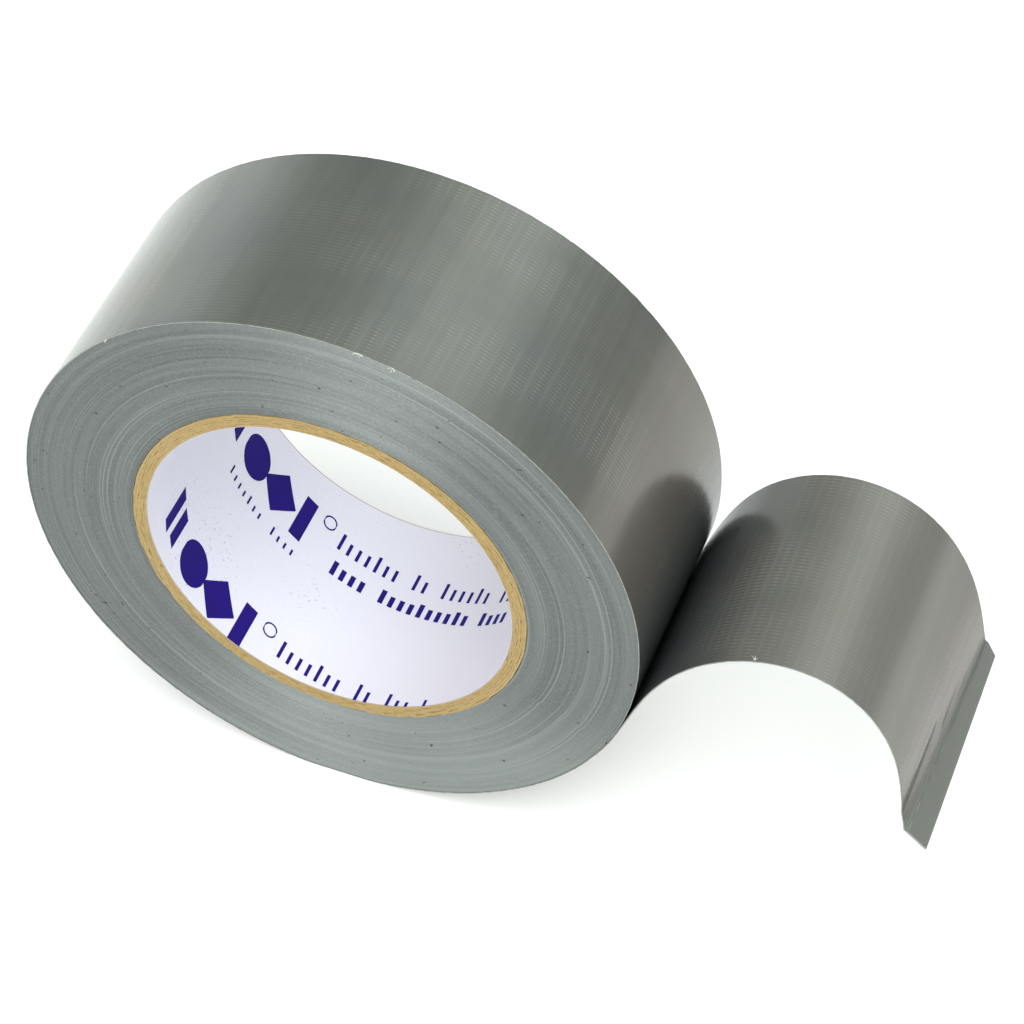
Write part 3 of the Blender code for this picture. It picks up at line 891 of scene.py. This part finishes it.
def turned(name, r, y, angles, spiral, look):
    """A ring from grids (radius, y) at these angles, closed both ways. Its look is told the spiral radius."""
    rows, columns = r.shape
    place = np.broadcast_to(angles[:, None], r.shape)
    row, column = np.meshgrid(np.arange(rows), np.arange(columns), indexing="ij")
    after, beside = (row + 1) % rows, (column + 1) % columns
    near, far = row * columns, after * columns
    quads = np.stack([near + column, near + beside, far + beside, far + column], -1).reshape(-1, 4).tolist()
    coords = np.stack([spiral, y, place * MM], -1).reshape(-1, 3)
    return outward(link_mesh(name, ring_points(r, y, place).reshape(-1, 3), quads, coords, look))


PACK_WALL = np.linspace(1, -1, 6)[1:-1] * 0.98 * HALF_WIDTH
PACK_SUNK = 0.08 * MM  # how far the wound edges lie inside the roll's width
RIDGE = (0.015 * MM, -0.018 * MM)  # the middle of a turn's edge and the gap beside it
PROUD, BAND, SLANT = 0.012 * MM, 0.05 * MM, 0.02 * MM  # of single turns, of bands of them, of the whole side
PACK_GAP_CORE, PACK_GAP_RIM = 0.14 * MM, 0.03 * MM


def pack_end(radius, place, share, seed):
    """The y of one side face of the pack, at each angle and radius: ridges, bands and a slight lean."""
    random = np.random.default_rng(seed)
    count = len(share)
    proud = np.repeat(random.normal(0, 1, count // 2 + 1), 2)[:count] * PROUD
    bands = wave(radius, seed, 9, 0.9, 7) * BAND
    ridge = np.where(np.arange(count) % 2 == 1, *RIDGE)
    lean = wave(np.cos(place)[:, None] * 0.04 + radius * 3, seed + 3, 6, 20, 60) * SLANT
    lean = lean + wave(np.sin(place)[:, None] * 0.04 - radius * 2, seed + 4, 6, 20, 60) * SLANT
    stand = (proud + bands + ridge)[None] + lean
    edge = np.minimum(share, 1 - share) * count / 4
    return HALF_WIDTH - PACK_SUNK + stand * np.clip(edge, 0.25, 1)[None]


def build_pack():
    """The buried turns: each turn's slit edge is a ridge of its own, and some turns stand a little proud."""
    inner = CORE_RADIUS + PACK_GAP_CORE
    outer = ROLL_RADIUS - TAPE_THICKNESS - PACK_GAP_RIM
    ridges = int((outer - inner) / TAPE_THICKNESS)
    share = np.linspace(0, 1, 2 * ridges + 1)
    angles = np.linspace(0, 2 * math.pi, 280, endpoint=False)
    place = PEEL_ANGLE + angles
    rim = rest_flat(outer - sunk(angles), place)[:, None]
    flat_radius = inner + (outer - inner) * share
    ends = [pack_end(flat_radius, place, share, seed) for seed in (101, 202)]
    r, y = section(inner + (rim - inner) * share, ends, rim, inner, PACK_WALL)
    spiral = r + TAPE_THICKNESS * (angles / (2 * math.pi))[:, None]
    piece = turned("wound_pack", r, y, place, spiral, pack_side())
    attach(piece, "roll")
    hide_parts("wound_tape")


PLY_WALL = np.linspace(1, -1, 5)[1:-1] * 0.97 * HALF_WIDTH
PLY_GAP = 0.015 * MM
PLY_PROUD, ROUND_OFF = 0.02 * MM, 0.03 * MM  # how far a ply's cut ends stand out, and their rounding
FUZZ_END, FUZZ_WALL = 0.05 * MM, 0.02 * MM  # the roughness of its ends and of its walls
SLOW_END, SLOW_WALL = 0.05 * MM, 0.03 * MM  # their slower waves


def build_core():
    """Five kraft plies with fibrous ends."""
    board = kraft()
    count = 300
    angles = np.linspace(0, 2 * math.pi, count, endpoint=False)
    share = np.linspace(0, 1, 5)
    inner = LINER_OUTER + PLY_GAP
    for i, box in enumerate(PLY_BOXES):
        outer = box[1].x
        random = np.random.default_rng(300 + i)
        ends = []
        for side in range(2):
            rough = random.normal(0, 1, (count, len(share))) * FUZZ_END
            slow = wave(angles * CORE_RADIUS, 310 + 10 * i + side, 10, 2, 30)[:, None] * SLOW_END
            ends.append(HALF_WIDTH + PLY_PROUD + rough + slow - ROUND_OFF * (2 * share - 1) ** 2)
        radii = np.broadcast_to(inner + (outer - inner) * share, (count, len(share)))
        r, y = section(radii, ends, outer, inner, PLY_WALL)
        r = r + random.normal(0, 1, r.shape) * FUZZ_WALL
        r = r + wave(angles * CORE_RADIUS, 350 + i, 12, 1.5, 14)[:, None] * SLOW_WALL
        piece = turned(f"kraft_ply_{i + 1}", r, y, angles, r, board)
        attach(piece, "roll")
        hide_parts(f"core_ply_{i + 1}")
        inner = outer + PLY_GAP


def build_liner():
    """The paper sleeve inside the core."""
    paper = liner_paper()
    count, columns = 360, 25
    angles = np.linspace(0, 2 * math.pi, count, endpoint=False)
    ys = np.linspace(-HALF_WIDTH, HALF_WIDTH, columns)
    grids, coords = [], []
    for radius in (BORE_RADIUS, LINER_OUTER):
        place = np.broadcast_to(angles[:, None], (count, columns))
        y = np.broadcast_to(ys, (count, columns))
        grids.append(ring_points(np.full(y.shape, radius), y, place))
        coords.append(np.stack([place * BORE_RADIUS, y, np.full(y.shape, radius)], -1))
    piece = slab("liner_sleeve", grids, coords, paper, closed=True)
    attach(piece, "roll")
    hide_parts("printed_liner")


# -------------------------------- the liner's print

PRINT_SLOPE = math.radians(-9)
PRINT_PITCH = 31 * MM
PRINT_ROWS = (-1, 0, 1, 2)
PRINT_REPEATS = 2
PRINT_START = (-104 * MM, 33.5 * MM)  # round the bore and back from the front edge
PRINT_LIFT = (0.012 * MM, 0.035 * MM)  # the ink's underside and face, off the paper
PRINT_MARGIN = 0.05 * MM  # from the liner's edge
THINNEST, SLIVER = 0.05 * MM, 0.9 * MM  # a part of a mark, or a whole mark, lower than this is left out
MARK_STEP = 0.15  # millimetres along a mark between its points


def mark_shapes():
    """The marks of one repeat in millimetres: (start, end, low, high), with low and high by the place."""
    marks = []

    def bar(start, end, low, high, lean=0.0):
        marks.append((start, end, lambda a: low + lean * (a - start), lambda a: high + lean * (a - start)))

    def round_half(a, radius):
        return math.sqrt(max(radius**2 - a**2, 0.0))

    def pointed_half(a, radius):
        return max(radius - abs(a), 0.0)

    def balanced(centre, height, radius, half):
        """A mark as high above its centre line as below it, by its half height at each place."""
        low, high = (lambda a, side=side: height + side * half(a - centre, radius) for side in (-1, 1))
        marks.append((centre - radius, centre + radius, low, high))

    def hoop(centre, height, radius, stroke):
        """A ring, as its lower and its upper arch."""
        for side in (-1, 1):
            edges = [
                lambda a, r=r, side=side: height + side * round_half(a - centre, r)
                for r in (radius - stroke, radius)
            ]
            marks.append((centre - radius, centre + radius, *(edges if side > 0 else edges[::-1])))

    def tick_row(start, groups, low, tall, short, stroke, pitch):
        """Upright ticks in groups, every fourth one of a group tall."""
        for ticks in groups:
            for i in range(ticks):
                high = low + (tall if i % 4 == 0 else short)
                bar(start + i * pitch, start + i * pitch + stroke, low, high)
            start += (ticks + 1.2) * pitch

    bar(-9.5, -7.0, 2.0, 11.5, -0.35)
    bar(-5.5, -3.0, 2.0, 10.0, -0.35)
    balanced(4.2, 5.2, 4.6, round_half)
    balanced(13.4, 5.2, 5.2, pointed_half)
    bar(19.2, 22.4, 0.0, 10.6)
    hoop(26.3, 9.4, 1.7, 0.35)
    tick_row(0.0, (7, 4), -4.2, 2.2, 1.5, 0.5, 1.95)
    tick_row(30.0, (7, 2, 6, 5), 5.2, 4.3, 3.1, 0.75, 2.25)
    tick_row(31.0, (4, 10, 4), -1.2, 3.6, 2.8, 1.15, 2.3)
    return marks


def mark_line(start, end, low, high, row):
    """Places along a mark with its bottom and top y there, cut off at the liner's edges."""
    limit = HALF_WIDTH - PRINT_MARGIN
    cos, sin = math.cos(PRINT_SLOPE), math.sin(PRINT_SLOPE)
    columns = max(int((end - start) / MARK_STEP), 1)
    line = []
    for a in np.linspace(start, end, columns + 1) * MM:
        base_y = PRINT_START[1] - HALF_WIDTH - row * PRINT_PITCH + a * sin
        bottom, top = low(a / MM) * MM * cos, high(a / MM) * MM * cos
        bottom, top = max(bottom + base_y, -limit), min(top + base_y, limit)
        if top - bottom > THINNEST:
            line.append((a, bottom, top))
    return line


def build_print():
    """Plain marks printed on the liner, in slanting rows that repeat round the bore."""
    base, shade = (0.012, 0.0015, 0.17), (0.008, 0.001, 0.13)
    ink = plain_fibre("print_ink", base, shade, 2600, 0.7, 0.004, Specular_IOR_Level=0.2)
    vertices, faces, coords = [], [], []
    for repeat, row, mark in itertools.product(range(PRINT_REPEATS), PRINT_ROWS, mark_shapes()):
        line = mark_line(*mark, row)
        if max((top - bottom for _, bottom, top in line), default=0) < SLIVER:
            continue
        first = len(vertices)
        arc_start = PRINT_START[0] + repeat * 2 * math.pi * BORE_RADIUS / PRINT_REPEATS
        for a, *ys in line:
            arc = arc_start + a * math.cos(PRINT_SLOPE)
            angle = arc / BORE_RADIUS
            for lift, y in itertools.product(PRINT_LIFT, ys):
                radius = BORE_RADIUS - lift
                vertices.append((radius * math.cos(angle), y, AXIS_HEIGHT + radius * math.sin(angle)))
                coords.append((arc, y, radius))
        last = first + 4 * (len(line) - 1)
        for a in range(first, last, 4):
            b = a + 4
            faces += [(a, a + 1, b + 1, b), (a + 2, b + 2, b + 3, a + 3)]
            faces += [(a, b, b + 2, a + 2), (a + 1, a + 3, b + 3, b + 1)]
        faces += [(first, first + 2, first + 3, first + 1), (last, last + 1, last + 3, last + 2)]
    piece = outward(link_mesh("liner_print", vertices, faces, coords, ink))
    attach(piece, "roll")


add_camera()
add_studio()
build_tape()
build_threads()
build_pack()
build_core()
build_liner()
build_print()
